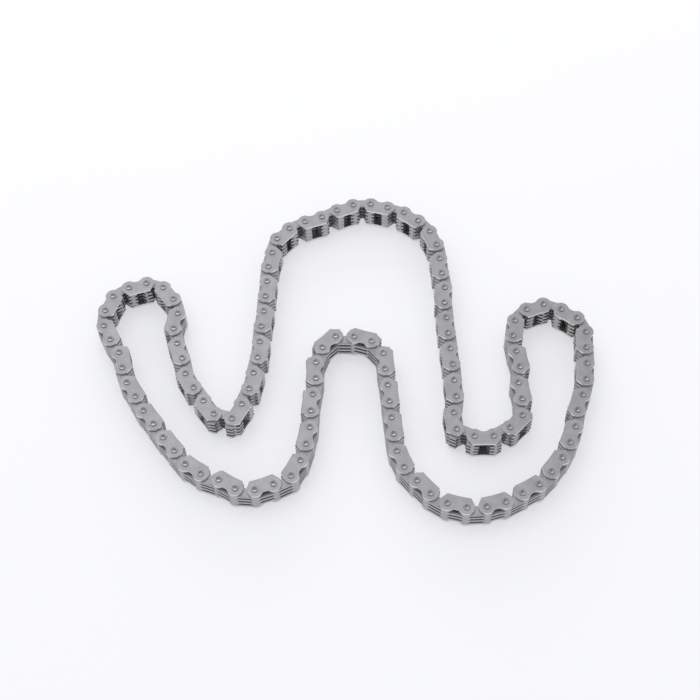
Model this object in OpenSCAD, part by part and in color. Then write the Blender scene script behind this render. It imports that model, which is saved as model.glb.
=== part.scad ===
// Timing chain of the inverted-tooth (silent) kind, an endless loop that lies slack on its side.
// Millimetres, +Z up along the pins. The loop rests on the lower ends of its pins at Z = 0,
// and the teeth of every link point to the inside of the loop.

/* [Chain] */
// Distance between neighbouring pins, the pitch of the chain
pitch = 6.35; // [6.3:0.05:6.6]
// Number of toothed plates between the two guide plates of a guide row
guide_row_plates = 3; // [1:1:4]

/* [Plates] */
// Thickness of every pressed plate
plate_thickness = 0.9; // [0.8:0.05:1.1]
// Side play between neighbouring plates
side_play = 0.05; // [0.03:0.01:0.08]
// Radius of the plate ends around the pins, also the height of the straight back
end_radius = 2.65; // [2.5:0.05:2.75]

/* [Teeth] */
// Lean of the outer flanks of the teeth from the square
flank_angle = 31; // [29:1:33]
// Height of the tooth tips over the line of the pins
tooth_height = 3.4; // [3.2:0.1:3.8]
// Height of the floor of the crotch over the line of the pins
crotch_height = 0.7; // [0.5:0.1:1]
// Width of the crotch at its floor
crotch_width = 1.6; // [1.5:0.1:1.9]
// Lean of the crotch walls from the square
crotch_angle = 22; // [19:1:24]
// Radius where the crotch walls run into its floor
crotch_radius = 0.65; // [0.5:0.05:0.7]
// Radius of the tooth tip corners
tip_radius = 0.3; // [0.2:0.05:0.35]

/* [Guide plates] */
// Lean of the guide plate's outer flanks from the square
guide_flank_angle = 38; // [35:1:41]
// Height of the guide plate's tooth-side edge over the line of the pins
guide_height = 3.4; // [3.2:0.1:3.8]
// Radius of the guide plate's two tooth-side corners
guide_corner_radius = 0.4; // [0.3:0.05:0.5]
// Depth of the dish in the guide plate's tooth-side edge
guide_dish = 0.2; // [0.1:0.05:0.3]
// Height of the back that the waist leaves under the line of the pins
waist_height = 1.65; // [1.55:0.05:1.85]
// Slope of the two ends of the waist
waist_angle = 30; // [28:1:35]
// Radius where the ends of the waist run into its floor
waist_corner_radius = 1; // [0.7:0.1:1.3]

/* [Pins] */
// Diameter of the pins
pin_diameter = 2.3; // [2.2:0.05:2.4]
// Running clearance all round a pin in a toothed plate
pin_play = 0.05; // [0.03:0.01:0.08]
// Clearance all round a pin where it is held in a guide plate
pin_seat = 0.02; // [0.01:0.01:0.03]
// Length by which a pin stands proud of each guide plate
pin_proud = 0.35; // [0.2:0.05:0.5]
// Chamfer on the pin ends
pin_chamfer = 0.1; // [0.05:0.05:0.15]
// Diameter of the staked dimple in each pin end
dimple_diameter = 1.7; // [1.5:0.05:1.8]
// Depth of the staked dimple
dimple_depth = 0.3; // [0.2:0.05:0.35]

/* [Hidden] */
$fn = 64;
links = 59;
steel = [0.60, 0.60, 0.61];
pin_steel = [0.52, 0.52, 0.54];

// Layers of the stack, from the lower guide plate to the upper one
layers = 2 * guide_row_plates + 3;
layer_step = plate_thickness + side_play;
stack_height = layers * layer_step - side_play;
pin_length = stack_height + 2 * pin_proud;
pin_radius = pin_diameter / 2;

// How the slack loop lies: link number, heading of its guide row and of its inner row, in degrees.
// The rows go round the loop with its inside on the left. They were picked by eye as whole degrees.
lay = [
    // Left lobe and down the left side
    [1, -164, -147], [2, -111, -91], [3, -66, -58], [4, -77, -72], [5, -60, -62],
    [6, -55, -57], [7, -53, -53],
    // Round the bottom on the left and up to the small arch
    [8, -36, -22], [9, -32, -6], [10, 18, 26], [11, 61, 73], [12, 78, 86], [13, 84, 80],
    // Over the small arch and down again
    [15, 44, -3], [16, -19, -53], [17, -87, -84], [18, -87, -86], [19, -86, -83],
    // Round the bottom on the right and up the right side
    [20, -70, -52], [21, -50, -35], [22, -16, 1], [23, 14, 27], [24, 28, 45],
    [25, 52, 60], [26, 68, 77], [27, 68, 73], [28, 82, 86],
    // Right lobe, and down into the right valley
    [29, 84, 112], [31, -162, -135], [32, -101, -85], [33, -83, -100], [34, -84, -94],
    [36, 179, 153],
    // Up the right leg of the large arch and over its top
    [40, 92, 92], [42, 93, 97], [44, 142, 157], [48, -134, -106],
    // Down the left leg, through the left valley and back to the left lobe
    [50, -95, -94], [52, -96, -102], [54, -120, 162], [56, 118, 102], [58, 80, 106]
];
// Pairs of links that lie exactly opposite each other, row for row
opposite_pairs = [[6, 55], [8, 30], [10, 47], [12, 49], [20, 43], [22, 45], [28, 51]];
// Pairs that lie exactly opposite each other with their two rows swapped
swapped_pairs = [[2, 14], [4, 57], [16, 59], [18, 39], [24, 35], [26, 53], [32, 37], [34, 41]];
// Two links whose headings follow from the rest, so that the loop closes: number and inner bend
closing = [[38, -2], [46, 7]];

function unit(angle) = [cos(angle), sin(angle)];
function sum(list, k = 0) = k == len(list) - 1 ? list[k] : list[k] + sum(list, k + 1);
function partner(pair) = [for (entry = lay) if (entry[0] == pair[0]) entry][0];
function turned(row) = row + 180;

// Guide and inner row headings of each link except the closing two
set_headings = [for (k = [1:links])
    let (own = [for (entry = lay) if (entry[0] == k) [entry[1], entry[2]]],
         same = [for (pair = opposite_pairs) if (pair[1] == k) partner(pair)],
         swapped = [for (pair = swapped_pairs) if (pair[1] == k) partner(pair)])
    len(own) > 0 ? own[0]
        : len(same) > 0 ? [turned(same[0][1]), turned(same[0][2])]
        : len(swapped) > 0 ? [turned(swapped[0][2]), turned(swapped[0][1])]
        : undef];

// The closing links are two sides of a triangle whose third side is what the others leave open
gap = -sum([for (rows = set_headings) if (!is_undef(rows)) unit(rows[0]) + unit(rows[1])]);
side_a = 2 * cos(closing[0][1] / 2);
side_b = 2 * cos(closing[1][1] / 2);
gap_heading = atan2(gap[1], gap[0]);
angle_a = acos((norm(gap) ^ 2 + side_a ^ 2 - side_b ^ 2) / (2 * norm(gap) * side_a));
angle_b = acos((norm(gap) ^ 2 + side_b ^ 2 - side_a ^ 2) / (2 * norm(gap) * side_b));
closing_headings = [gap_heading - angle_a, gap_heading + angle_b];

headings = [for (k = [1:links])
    let (place = [for (m = [0, 1]) if (closing[m][0] == k) m])
    len(place) > 0
        ? [closing_headings[place[0]] - closing[place[0]][1] / 2,
           closing_headings[place[0]] + closing[place[0]][1] / 2]
        : set_headings[k - 1]];

// Pin centres: two for each link, at the start of its guide row and at the start of its inner row
spans = [for (rows = headings) each [pitch * unit(rows[0]), pitch * unit(rows[1])]];
raw_pins = [for (k = 0, at = [0, 0]; k < 2 * links; at = at + spans[k], k = k + 1) at];
middle = [for (axis = [0, 1])
    (min([for (at = raw_pins) at[axis]]) + max([for (at = raw_pins) at[axis]])) / 2];
pins = [for (at = raw_pins) at - middle];

// Outlines are lists of corners [x, y, radius], anticlockwise. A corner that turns in is filled.
function to_corner(corners, k) = let (n = len(corners), a = corners[k], b = corners[(k + n - 1) % n])
    [a[0] - b[0], a[1] - b[1]] / norm([a[0] - b[0], a[1] - b[1]]);
function from_corner(corners, k) = to_corner(corners, (k + 1) % len(corners));
function corner_turn(corners, k) = let (a = to_corner(corners, k), b = from_corner(corners, k))
    atan2(a[0] * b[1] - a[1] * b[0], a[0] * b[0] + a[1] * b[1]);
function corner_cut(corners, k) = corners[k][2] * tan(abs(corner_turn(corners, k)) / 2);
function corner_at(corners, k) = [corners[k][0], corners[k][1]];
function corner_points(corners, k) = corners[k][2] == 0 ? [corner_at(corners, k)] :
    [corner_at(corners, k) - to_corner(corners, k) * corner_cut(corners, k),
     corner_at(corners, k) + from_corner(corners, k) * corner_cut(corners, k)];
function corner_centre(corners, k) = let (a = to_corner(corners, k))
    corner_points(corners, k)[0] + sign(corner_turn(corners, k)) * corners[k][2] * [-a[1], a[0]];

module rounded_outline(corners) {
    places = [0:len(corners) - 1];
    difference() {
        union() {
            polygon([for (k = places) each corner_points(corners, k)]);
            for (k = places)
                if (corners[k][2] > 0 && corner_turn(corners, k) > 0)
                    translate(corner_centre(corners, k)) circle(corners[k][2]);
        }
        for (k = places)
            if (corners[k][2] > 0 && corner_turn(corners, k) < 0)
                translate(corner_centre(corners, k)) circle(corners[k][2]);
    }
}

// Distance of a flank from the pin, along the plate, at a height over the line of the pins
function flank_at(height, lean) =
    (height - end_radius * sin(lean)) * tan(lean) - end_radius * cos(lean);
function mirrored(corners) = [for (k = [len(corners) - 1:-1:0])
    [pitch - corners[k][0], corners[k][1], corners[k][2]]];

// Both plates are outlined with their pins at x = 0 and x = pitch, and their teeth towards +Y
module plate_ends() {
    for (x = [0, pitch])
        translate([x, 0]) circle(end_radius);
}

module toothed_outline() {
    crotch_top = (pitch - crotch_width) / 2 - (tooth_height - crotch_height) * tan(crotch_angle);
    left_half = [
        [(pitch - crotch_width) / 2, crotch_height, crotch_radius],
        [crotch_top, tooth_height, tip_radius],
        [flank_at(tooth_height, flank_angle), tooth_height, tip_radius],
        [-end_radius * cos(flank_angle), end_radius * sin(flank_angle), 0],
        [0, -end_radius, 0]
    ];
    rounded_outline(concat(left_half, mirrored(left_half)));
    plate_ends();
}

module guide_outline() {
    lean = guide_flank_angle;
    half_top = pitch / 2 - flank_at(guide_height, lean);
    dish_radius = (half_top ^ 2 + guide_dish ^ 2) / (2 * guide_dish);
    waist_slope = [end_radius * sin(waist_angle), -end_radius * cos(waist_angle), 0];
    waist_start = waist_slope[0] - (waist_height + waist_slope[1]) / tan(waist_angle);
    left_half = [
        [flank_at(guide_height, lean), guide_height, guide_corner_radius],
        [-end_radius * cos(lean), end_radius * sin(lean), 0],
        waist_slope,
        [waist_start, -waist_height, waist_corner_radius]
    ];
    difference() {
        rounded_outline(concat(left_half, mirrored(left_half)));
        translate([pitch / 2, guide_height - guide_dish + dish_radius]) circle(dish_radius, $fn = 360);
    }
    plate_ends();
}

module pin_holes(radius) {
    for (x = [0, pitch])
        translate([x, 0]) circle(radius);
}

module toothed_plate() {
    color(steel)
        linear_extrude(plate_thickness)
            difference() {
                toothed_outline();
                pin_holes(pin_radius + pin_play);
            }
}

module guide_plate() {
    color(steel)
        linear_extrude(plate_thickness)
            difference() {
                guide_outline();
                pin_holes(pin_radius + pin_seat);
            }
}

// Half of the pin's section from its axis, with chamfered ends and a round dimple in each
module pin() {
    dimple_radius = dimple_diameter / 2;
    ball_radius = (dimple_radius ^ 2 + dimple_depth ^ 2) / (2 * dimple_depth);
    color(pin_steel)
        difference() {
            rotate_extrude()
                polygon([
                    [0, 0], [pin_radius - pin_chamfer, 0], [pin_radius, pin_chamfer],
                    [pin_radius, pin_length - pin_chamfer],
                    [pin_radius - pin_chamfer, pin_length], [0, pin_length]
                ]);
            translate([0, 0, dimple_depth - ball_radius]) sphere(ball_radius, $fn = 180);
            translate([0, 0, pin_length - dimple_depth + ball_radius]) sphere(ball_radius, $fn = 180);
        }
}

module on_layer(layer) {
    translate([0, 0, pin_proud + layer * layer_step]) children();
}

// Guide row: the two guide plates, the toothed plates between them and both pins
module guide_row() {
    for (layer = [0, layers - 1])
        on_layer(layer) guide_plate();
    for (layer = [2:2:layers - 3])
        on_layer(layer) toothed_plate();
    for (x = [0, pitch])
        translate([x, 0, 0]) pin();
}

// Inner row: toothed plates only, from this link's second pin to the first pin of the next link
module inner_row() {
    for (layer = [1:2:layers - 2])
        on_layer(layer) toothed_plate();
}

module link(k) {
    translate(pins[2 * k - 2]) rotate(headings[k - 1][0]) guide_row();
    translate(pins[2 * k - 1]) rotate(headings[k - 1][1]) inner_row();
}

for (k = [1:links])
    link(k);
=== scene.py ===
import math

import bpy
from mathutils import Matrix, Vector


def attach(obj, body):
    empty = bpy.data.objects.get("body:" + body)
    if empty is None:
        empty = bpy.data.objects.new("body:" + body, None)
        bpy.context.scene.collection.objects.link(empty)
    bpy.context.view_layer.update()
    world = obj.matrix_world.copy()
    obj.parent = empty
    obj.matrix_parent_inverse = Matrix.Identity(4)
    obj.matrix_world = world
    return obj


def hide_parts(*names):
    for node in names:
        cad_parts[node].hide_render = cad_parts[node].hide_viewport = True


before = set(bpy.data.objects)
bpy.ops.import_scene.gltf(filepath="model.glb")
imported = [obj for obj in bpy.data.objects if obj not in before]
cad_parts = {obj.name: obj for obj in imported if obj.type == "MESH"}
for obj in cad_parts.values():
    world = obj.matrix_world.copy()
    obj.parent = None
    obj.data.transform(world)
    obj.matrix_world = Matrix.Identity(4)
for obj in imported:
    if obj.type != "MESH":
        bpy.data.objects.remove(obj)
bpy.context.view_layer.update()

scene = bpy.context.scene
scene.view_settings.view_transform = "Standard"


# The camera looks down on the chain from its near side at 57 degrees, the angle of the photograph,
# with a moderate telephoto lens and a slight roll.
look_down = 57.3745
roll = -1.676
camera = bpy.data.objects.new("camera", bpy.data.cameras.new("camera"))
camera.data.sensor_width = 36.0
camera.data.lens = 73.281
camera.data.clip_start = 0.01
camera.data.clip_end = 20.0
camera.location = (0.0019, -0.26365, 0.4187)
camera.rotation_mode = "ZYX"
camera.rotation_euler = (math.radians(90 - look_down), 0, math.radians(roll))
scene.collection.objects.link(camera)
scene.camera = camera


# The guide plates are the two outer plates of each guide row: blanked from 0.9 mm strip steel and
# tumbled so that their edges are broken, with a waisted back and a slightly dished tooth side.
# They are pressed onto both pins of a link and hold it together.

# Plates and pins are modelled in millimetres, with the first pin at the origin and the next along X
pitch = 6.35
plate_thickness = 0.9
end_radius = 2.65
guide_height = 3.4
guide_flank = math.radians(38)
guide_corner = 0.4
guide_dish = 0.2
waist_height = 1.65
waist_lean = math.radians(30)
waist_corner = 1
edge_width = 0.12
press_fit_hole = 1.18
punch_length = 4
flat_angle = math.radians(1)
round_angle = math.radians(32)
sharp_angle = math.radians(40)


# How far along the plate a corner is centred, when its flank leans and runs on into the rounded end
def corner_along(flank, height, corner_radius):
    climb = height - corner_radius - end_radius * math.sin(flank)
    return climb * math.tan(flank) - end_radius * math.cos(flank) + corner_radius / math.cos(flank)


# A round of the strip's own thickness, round which the outline of a plate is drawn
def add_strip_round(facets, radius, x, y):
    bpy.ops.mesh.primitive_cylinder_add(
        vertices=facets, radius=radius, depth=plate_thickness, location=(x, y, plate_thickness / 2)
    )


# A round punch, long enough to go right through the strip
def add_round_punch(facets, radius, x, y):
    bpy.ops.mesh.primitive_cylinder_add(
        vertices=facets, radius=radius, depth=punch_length, location=(x, y, 0)
    )


# All that is in the edited mesh becomes one tight outline with undivided flat faces
def wrap_outline():
    bpy.ops.mesh.select_all(action="SELECT")
    bpy.ops.mesh.convex_hull()
    bpy.ops.mesh.select_all(action="SELECT")
    bpy.ops.mesh.dissolve_limited(angle_limit=flat_angle)


# A blank is the outline round both pins and both corners of the tooth side
def blank_plate(name, end_facets, corner_facets, corner_x, corner_radius, height):
    bpy.ops.object.select_all(action="DESELECT")
    add_strip_round(end_facets, end_radius, 0, 0)
    plate = bpy.context.object
    plate.name = name
    bpy.ops.object.mode_set(mode="EDIT")
    add_strip_round(end_facets, end_radius, pitch, 0)
    for x in (corner_x, pitch - corner_x):
        add_strip_round(corner_facets, corner_radius, x, height - corner_radius)
    wrap_outline()
    bpy.ops.object.mode_set(mode="OBJECT")
    bpy.ops.object.transform_apply(location=True, rotation=True, scale=True)
    return plate


def cut_with_punch(plate, punch):
    cut = plate.modifiers.new("cut", "BOOLEAN")
    cut.operation = "DIFFERENCE"
    cut.solver = "EXACT"
    cut.object = punch
    bpy.ops.object.select_all(action="DESELECT")
    bpy.context.view_layer.objects.active = plate
    plate.select_set(True)
    bpy.ops.object.modifier_apply(modifier="cut")
    bpy.data.objects.remove(punch)


# The pin holes come after the edges are broken, so that their own edges stay sharp
def punch_pin_holes(plate, facets, hole_radius):
    bpy.ops.object.select_all(action="DESELECT")
    add_round_punch(facets, hole_radius, 0, 0)
    punch = bpy.context.object
    bpy.ops.object.mode_set(mode="EDIT")
    add_round_punch(facets, hole_radius, pitch, 0)
    bpy.ops.object.mode_set(mode="OBJECT")
    cut_with_punch(plate, punch)
    bpy.ops.object.shade_smooth_by_angle(angle=round_angle)


guide_corner_x = corner_along(guide_flank, guide_height, guide_corner)
guide_plate = blank_plate(
    "guide_plate", end_facets=28, corner_facets=16,
    corner_x=guide_corner_x, corner_radius=guide_corner, height=guide_height
)

# One shaping punch cuts the waist, whose sides lean outwards down to its foot, and the shallow dish
foot_drop = 1.7
foot_height = 0.1
waist_start = end_radius * math.sin(waist_lean) + (
    end_radius * math.cos(waist_lean) - waist_height
) / math.tan(waist_lean)
waist_centre = waist_start + waist_corner * math.tan(waist_lean / 2)
waist_foot = waist_start - foot_drop / math.tan(waist_lean)
half_top = pitch / 2 - guide_corner_x + guide_corner
dish_radius = (half_top ** 2 + guide_dish ** 2) / (2 * guide_dish)
bpy.ops.object.select_all(action="DESELECT")
bpy.ops.mesh.primitive_cube_add(
    size=1, location=(pitch / 2, -waist_height - (foot_drop + foot_height / 2), 0),
    scale=(pitch - 2 * waist_foot, foot_height, punch_length)
)
shaping_punch = bpy.context.object
bpy.ops.object.transform_apply(location=True, rotation=True, scale=True)
bpy.ops.object.mode_set(mode="EDIT")
for x in (waist_centre, pitch - waist_centre):
    add_round_punch(facets=40, radius=waist_corner, x=x, y=-waist_height - waist_corner)
wrap_outline()
add_round_punch(facets=80, radius=dish_radius, x=pitch / 2, y=guide_height - guide_dish + dish_radius)
bpy.ops.object.mode_set(mode="OBJECT")
cut_with_punch(guide_plate, shaping_punch)

# Tumbling breaks the edges on both sides
edge_break = guide_plate.modifiers.new("edge_break", "BEVEL")
edge_break.width = edge_width
edge_break.segments = 1
edge_break.limit_method = "ANGLE"
edge_break.angle_limit = sharp_angle
bpy.ops.object.modifier_apply(modifier="edge_break")
punch_pin_holes(guide_plate, facets=20, hole_radius=press_fit_hole)

# A mottle lies mostly between these two values, which stand for a steel's darkest and palest spots
noise_low = 0.3
noise_high = 0.7
grain_height = 0.00002


def new_steel(name):
    steel = bpy.data.materials.new(name)
    steel.use_nodes = True
    steel.node_tree.nodes["Principled BSDF"].inputs["Metallic"].default_value = 1.0
    return steel


def add_mottle(steel, scale, detail):
    nodes, links = steel.node_tree.nodes, steel.node_tree.links
    place = nodes.new("ShaderNodeTexCoord")
    mottle = nodes.new("ShaderNodeTexNoise")
    mottle.inputs["Scale"].default_value = scale
    mottle.inputs["Detail"].default_value = detail
    links.new(place.outputs["Object"], mottle.inputs["Vector"])
    return mottle.outputs["Fac"]


def shade_steel(steel, mottle, dark, light):
    nodes, links = steel.node_tree.nodes, steel.node_tree.links
    tone = nodes.new("ShaderNodeValToRGB")
    tone.color_ramp.elements[0].position = noise_low
    tone.color_ramp.elements[0].color = (*dark, 1)
    tone.color_ramp.elements[1].position = noise_high
    tone.color_ramp.elements[1].color = (*light, 1)
    links.new(mottle, tone.inputs["Fac"])
    links.new(tone.outputs["Color"], nodes["Principled BSDF"].inputs["Base Color"])


def satin_steel(steel, mottle, smoothest, roughest):
    nodes, links = steel.node_tree.nodes, steel.node_tree.links
    satin = nodes.new("ShaderNodeMapRange")
    satin.inputs["From Min"].default_value = noise_low
    satin.inputs["From Max"].default_value = noise_high
    satin.inputs["To Min"].default_value = smoothest
    satin.inputs["To Max"].default_value = roughest
    links.new(mottle, satin.inputs["Value"])
    links.new(satin.outputs["Result"], nodes["Principled BSDF"].inputs["Roughness"])


def grain_steel(steel, mottle, strength):
    nodes, links = steel.node_tree.nodes, steel.node_tree.links
    grain = nodes.new("ShaderNodeBump")
    grain.inputs["Strength"].default_value = strength
    grain.inputs["Distance"].default_value = grain_height
    links.new(mottle, grain.inputs["Height"])
    links.new(grain.outputs["Normal"], nodes["Principled BSDF"].inputs["Normal"])


def reshade_steel(steel, name, dark, light):
    reshaded = steel.copy()
    reshaded.name = name
    shades = reshaded.node_tree.nodes["Color Ramp"].color_ramp.elements
    shades[0].color = (*dark, 1)
    shades[1].color = (*light, 1)
    return reshaded


# Plain carbon steel after tumbling is a satin grey with soft blotches and fine scuffs
plate_steel = new_steel("tumbled_plate_steel")
blotches = add_mottle(plate_steel, scale=260.0, detail=3.0)
shade_steel(plate_steel, blotches, dark=(0.245, 0.245, 0.25), light=(0.295, 0.295, 0.30))
scuffs = add_mottle(plate_steel, scale=2600.0, detail=2.0)
satin_steel(plate_steel, scuffs, smoothest=0.40, roughest=0.56)
grain_steel(plate_steel, scuffs, strength=0.25)

# The sheared walls are partly rubbed brighter than the faces and partly painted brighter as a painted
# highlight along the edges, with fine lines left by the punch, and where they are broken or carry the
# teeth they are a little duller
edge_wear_and_highlight = new_steel("rubbed_edge_with_painted_highlight")
edge_wear_and_highlight.node_tree.nodes["Principled BSDF"].inputs["Roughness"].default_value = 0.34
punch_lines = add_mottle(edge_wear_and_highlight, scale=1500.0, detail=2.0)
shade_steel(edge_wear_and_highlight, punch_lines, dark=(0.68, 0.68, 0.68), light=(0.84, 0.84, 0.835))
grain_steel(edge_wear_and_highlight, punch_lines, strength=0.2)
tooth_steel = reshade_steel(edge_wear_and_highlight, "rubbed_tooth_steel", (0.40, 0.40, 0.40), (0.52, 0.52, 0.52))

# How much a face looks up or down tells the sheared walls, which get the second material, from the
# broken edges, which get the third, and from the flat faces
wall_tilt = 0.3
edge_tilt = 0.95
flat_tilt = 0.99
for material in (plate_steel, edge_wear_and_highlight, tooth_steel):
    guide_plate.data.materials.append(material)
for face in guide_plate.data.polygons:
    face.use_smooth = abs(face.normal.z) < flat_tilt
    # Sheared walls take the bright edge steel, whose brightness is partly wear and partly painted
    # highlight
    if abs(face.normal.z) < wall_tilt:
        face.material_index = 1
    elif abs(face.normal.z) < edge_tilt:
        face.material_index = 2


# The toothed plates carry the drive: two blunt teeth each, with a rounded crotch between them.
# They are blanked from the same strip steel, three fill a guide row and four an inner row, and
# they turn freely on the pins.
tooth_height = 3.4
tooth_flank = math.radians(31)
tip_radius = 0.3
crotch_height = 0.7
crotch_width = 1.6
crotch_lean = math.radians(22)
crotch_radius = 0.65
running_hole = 1.21
toothed_plate = blank_plate(
    "toothed_plate", end_facets=18, corner_facets=8,
    corner_x=corner_along(tooth_flank, tooth_height, tip_radius),
    corner_radius=tip_radius, height=tooth_height
)

# The crotch punch has two rounded floor corners and opens towards a mouth beyond the tips
mouth_beyond = 1
corner_aside = crotch_width / 2 - crotch_radius * (1 / math.cos(crotch_lean) - math.tan(crotch_lean))
corner_up = crotch_height + crotch_radius
half_mouth = crotch_width / 2 + (tooth_height + mouth_beyond - crotch_height) * math.tan(crotch_lean)
bpy.ops.object.select_all(action="DESELECT")
add_round_punch(facets=12, radius=crotch_radius, x=pitch / 2 - corner_aside, y=corner_up)
crotch_punch = bpy.context.object
bpy.ops.object.mode_set(mode="EDIT")
add_round_punch(facets=12, radius=crotch_radius, x=pitch / 2 + corner_aside, y=corner_up)
bpy.ops.mesh.primitive_cube_add(
    size=1, location=(pitch / 2, tooth_height + 1.5 * mouth_beyond, 0),
    scale=(2 * half_mouth, mouth_beyond, punch_length)
)
wrap_outline()
bpy.ops.object.mode_set(mode="OBJECT")
cut_with_punch(toothed_plate, crotch_punch)

# Shearing rolls the edge of the upper side only
bpy.ops.object.mode_set(mode="EDIT")
bpy.ops.mesh.select_mode(type="FACE")
bpy.ops.mesh.select_all(action="SELECT")
bpy.ops.mesh.dissolve_limited(angle_limit=flat_angle)
bpy.ops.mesh.select_all(action="DESELECT")
bpy.ops.object.mode_set(mode="OBJECT")
for face in toothed_plate.data.polygons:
    face.select = face.normal.z > flat_tilt
bpy.ops.object.mode_set(mode="EDIT")
bpy.ops.mesh.bevel(offset=edge_width, segments=1, affect="EDGES")
bpy.ops.object.mode_set(mode="OBJECT")
punch_pin_holes(toothed_plate, facets=12, hole_radius=running_hole)

# The crotch floor of the toothed plates gets a near-black, faintly mottled steel as painted shade deep
# in the crotch. Their flanks, tips and backs are rubbed bright, and the sides of the crotch get the
# grey of the faces, darker than the other walls, as painted shade.
crotch_painted_shade = new_steel("crotch_floor_painted_shade")
crotch_shade_mottle = add_mottle(crotch_painted_shade, scale=420.0, detail=3.0)
shade_steel(crotch_painted_shade, crotch_shade_mottle, dark=(0.045, 0.045, 0.048), light=(0.08, 0.08, 0.082))
satin_steel(crotch_painted_shade, crotch_shade_mottle, smoothest=0.30, roughest=0.45)
half_gap = crotch_width / 2 + (tooth_height - crotch_height) * math.tan(crotch_lean)
floor_tilt = 0.5
for material in (plate_steel, tooth_steel, crotch_painted_shade):
    toothed_plate.data.materials.append(material)
for face in toothed_plate.data.polygons:
    face.use_smooth = abs(face.normal.z) < flat_tilt
    # Crotch floors get the near-black painted shade steel and crotch sides keep the face grey as
    # painted shade; other walls are rubbed steel
    in_crotch = abs(face.center.x - pitch / 2) < half_gap and face.center.y > 0
    if abs(face.normal.z) < wall_tilt and not in_crotch:
        face.material_index = 1
    elif abs(face.normal.z) < wall_tilt and face.normal.y > floor_tilt:
        face.material_index = 2


# The pins are hardened round steel, pressed through the guide plates and staked at both ends:
# the punch leaves a round dimple, and the end stands a little proud of the plate.
pin_radius = 1.15
pin_length = 9.2
chamfer = 0.1
dimple_radius = 0.85
dimple_depth = 0.3
dimple_steps = ((0.45, 0.55), (0.4, 0.45))
pin_round_angle = math.radians(20)
bpy.ops.object.select_all(action="DESELECT")
bpy.ops.mesh.primitive_cylinder_add(
    vertices=20, radius=pin_radius, depth=pin_length, location=(0, 0, pin_length / 2)
)
pin = bpy.context.object
pin.name = "pin"
bpy.ops.object.transform_apply(location=True, rotation=True, scale=True)
bpy.ops.object.mode_set(mode="EDIT")
bpy.ops.mesh.select_mode(type="FACE")


def select_pin_end(height):
    bpy.ops.mesh.select_all(action="DESELECT")
    bpy.ops.object.mode_set(mode="OBJECT")
    for face in pin.data.polygons:
        at_end = abs(face.center.z - height) < chamfer / 4
        face.select = at_end and abs(face.normal.z) > flat_tilt
    bpy.ops.object.mode_set(mode="EDIT")


# A dimple goes down in two steps, each a share of its radius and a share of its depth
for end in (0, pin_length):
    select_pin_end(end)
    bpy.ops.mesh.bevel(offset=chamfer, segments=1, affect="EDGES")
    select_pin_end(end)
    bpy.ops.mesh.inset(thickness=pin_radius - chamfer - dimple_radius, depth=0)
    for inward, down in dimple_steps:
        bpy.ops.mesh.inset(thickness=dimple_radius * inward, depth=-dimple_depth * down)
bpy.ops.object.mode_set(mode="OBJECT")
bpy.ops.object.shade_smooth_by_angle(angle=pin_round_angle)

# The ends are as grey as the plates, the dimples are painted darker as painted shade in their hollows,
# and the sides are rubbed bright
pin_steel = new_steel("hardened_pin_steel")
stains = add_mottle(pin_steel, scale=700.0, detail=3.0)
shade_steel(pin_steel, stains, dark=(0.22, 0.22, 0.225), light=(0.30, 0.30, 0.30))
satin_steel(pin_steel, stains, smoothest=0.28, roughest=0.42)
painted_dimple_shade = reshade_steel(pin_steel, "dimple_with_painted_shade", (0.18, 0.18, 0.182), (0.18, 0.18, 0.182))
for material in (pin_steel, painted_dimple_shade, tooth_steel):
    pin.data.materials.append(material)
for face in pin.data.polygons:
    # Faces inside the dimple get the darker steel, a painted shade
    if math.hypot(face.center.x, face.center.y) < dimple_radius:
        face.material_index = 1
    elif abs(face.normal.z) < wall_tilt:
        face.material_index = 2


# The links as they are assembled. Each guide row is two guide plates with three toothed plates
# between them, each inner row is four toothed plates, and both pins of a link go with its guide row.
layers = 9
layer_step = 0.95
pin_proud = 0.35

# The outermost layers are guide plates, and between them the two rows' toothed plates take turns
heights = [pin_proud + layer * layer_step for layer in range(layers)]
guide_row = [(guide_plate, 0, z) for z in (heights[0], heights[-1])]
guide_row += [(toothed_plate, 0, z) for z in heights[2:-1:2]]
inner_row = [(toothed_plate, 0, z) for z in heights[1::2]]
pin_pair = [(pin, x, 0) for x in (0, pitch)]

millimetre = 0.001
ring_band = 0.00002


def ring_middle(ring):
    lowest = Vector([min(corner[axis] for corner in ring) for axis in range(2)])
    highest = Vector([max(corner[axis] for corner in ring) for axis in range(2)])
    return (lowest + highest) / 2


# The flat rings of the two upper pin ends are the highest points of a link's node in the frame
link_names = sorted(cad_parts)
link_pins = []
for name in link_names:
    corners = [vertex.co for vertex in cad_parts[name].data.vertices]
    top = max(corner.z for corner in corners)
    rims = [corner for corner in corners if corner.z > top - ring_band]
    one_ring = [corner for corner in rims if (corner - rims[0]).length < pitch / 2 * millimetre]
    other_ring = [corner for corner in rims if (corner - rims[0]).length >= pitch / 2 * millimetre]
    link_pins.append([ring_middle(one_ring), ring_middle(other_ring)])

# Of a link's two pins, the second is the one nearer to the next link
loop_pins = []
for k, pair in enumerate(link_pins):
    following = link_pins[(k + 1) % len(link_pins)]
    reach = [min((end - centre).length for end in following) for centre in pair]
    loop_pins += pair if reach[1] < reach[0] else pair[::-1]

# A guide row runs from its link's first pin to its second, and an inner row on to the next link
row_places = []
for k, start in enumerate(loop_pins):
    along = loop_pins[(k + 1) % len(loop_pins)] - start
    turn = Matrix.Rotation(math.atan2(along.y, along.x), 4, "Z")
    row_places.append(Matrix.Translation((start.x, start.y, 0)) @ turn)

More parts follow.
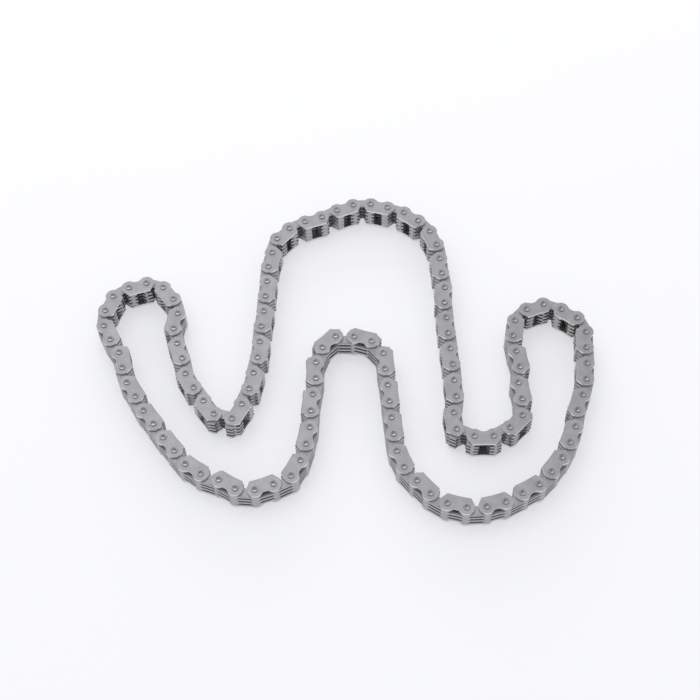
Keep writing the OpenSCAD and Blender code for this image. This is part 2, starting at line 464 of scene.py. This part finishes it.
# Each stack is put together once, and each link gets a copy of its own, laid in its place
for stack_name, members, row in (
    ("guide_row", guide_row, 0), ("inner_row", inner_row, 1), ("pins", pin_pair, 0)
):
    bpy.ops.object.select_all(action="DESELECT")
    for piece, x, z in members:
        member = bpy.data.objects.new(stack_name, piece.data.copy())
        member.data.transform(Matrix.Translation((x, 0, z)))
        scene.collection.objects.link(member)
        member.select_set(True)
    bpy.context.view_layer.objects.active = member
    bpy.ops.object.join()
    stack = bpy.context.object
    stack.data.transform(Matrix.Scale(millimetre, 4))
    for k, name in enumerate(link_names):
        number = name.split("_")[1]
        made = bpy.data.objects.new(f"{stack_name}_{number}", stack.data.copy())
        made.data.transform(row_places[2 * k + row])
        scene.collection.objects.link(made)
        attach(made, name)
        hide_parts(name)
    bpy.data.objects.remove(stack)
for master in (guide_plate, toothed_plate, pin):
    bpy.data.objects.remove(master)


# A plain white light table, which keeps the shadows pale, and soft studio light: one large softbox
# overhead, a low one behind the chain that lights the near walls of the dimples, and a pale surround.
bpy.ops.object.select_all(action="DESELECT")
bpy.ops.mesh.primitive_plane_add(size=6, location=(0, 0, 0))
table = bpy.context.object
table.name = "table"
white = bpy.data.materials.new("white_table")
white.use_nodes = True
glowing_sheet = white.node_tree.nodes["Principled BSDF"]
glowing_sheet.inputs["Base Color"].default_value = (0.45, 0.45, 0.45, 1)
glowing_sheet.inputs["Emission Color"].default_value = (0.965, 0.97, 1, 1)
glowing_sheet.inputs["Emission Strength"].default_value = 0.5
glowing_sheet.inputs["Roughness"].default_value = 0.8
glowing_sheet.inputs["Specular IOR Level"].default_value = 0.2
table.data.materials.append(white)

# The surround shows full white to the camera and in the steel, and lights the chain a little less
world = bpy.data.worlds.new("studio")
scene.world = world
world.use_nodes = True
nodes, links = world.node_tree.nodes, world.node_tree.links
surround = nodes["Background"]
surround.inputs["Color"].default_value = (0.97, 0.975, 1, 1)
rays = nodes.new("ShaderNodeLightPath")
seen = nodes.new("ShaderNodeMath")
seen.operation = "MAXIMUM"
links.new(rays.outputs["Is Camera Ray"], seen.inputs[0])
links.new(rays.outputs["Is Glossy Ray"], seen.inputs[1])
clear = nodes.new("ShaderNodeMath")
clear.operation = "MAXIMUM"
links.new(seen.outputs["Value"], clear.inputs[0])
links.new(rays.outputs["Is Transmission Ray"], clear.inputs[1])
level = nodes.new("ShaderNodeMapRange")
level.inputs["To Min"].default_value = 0.8
level.inputs["To Max"].default_value = 1.0
links.new(clear.outputs["Value"], level.inputs["Value"])
links.new(level.outputs["Result"], surround.inputs["Strength"])

for lamp_name, lamp_place, power, width, height in (
    ("softbox_overhead", (-0.25, 0.35, 1.1), 3.0, 0.9, 0.9),
    ("softbox_behind", (-0.1, 1.1, 0.3), 6.0, 1.0, 0.45),
):
    lamp = bpy.data.objects.new(lamp_name, bpy.data.lights.new(lamp_name, "AREA"))
    lamp.data.shape = "RECTANGLE"
    lamp.data.size = width
    lamp.data.size_y = height
    lamp.data.energy = power
    lamp.location = lamp_place
    lamp.rotation_mode = "QUATERNION"
    lamp.rotation_quaternion = (-Vector(lamp_place)).to_track_quat("-Z", "Y")
    scene.collection.objects.link(lamp)
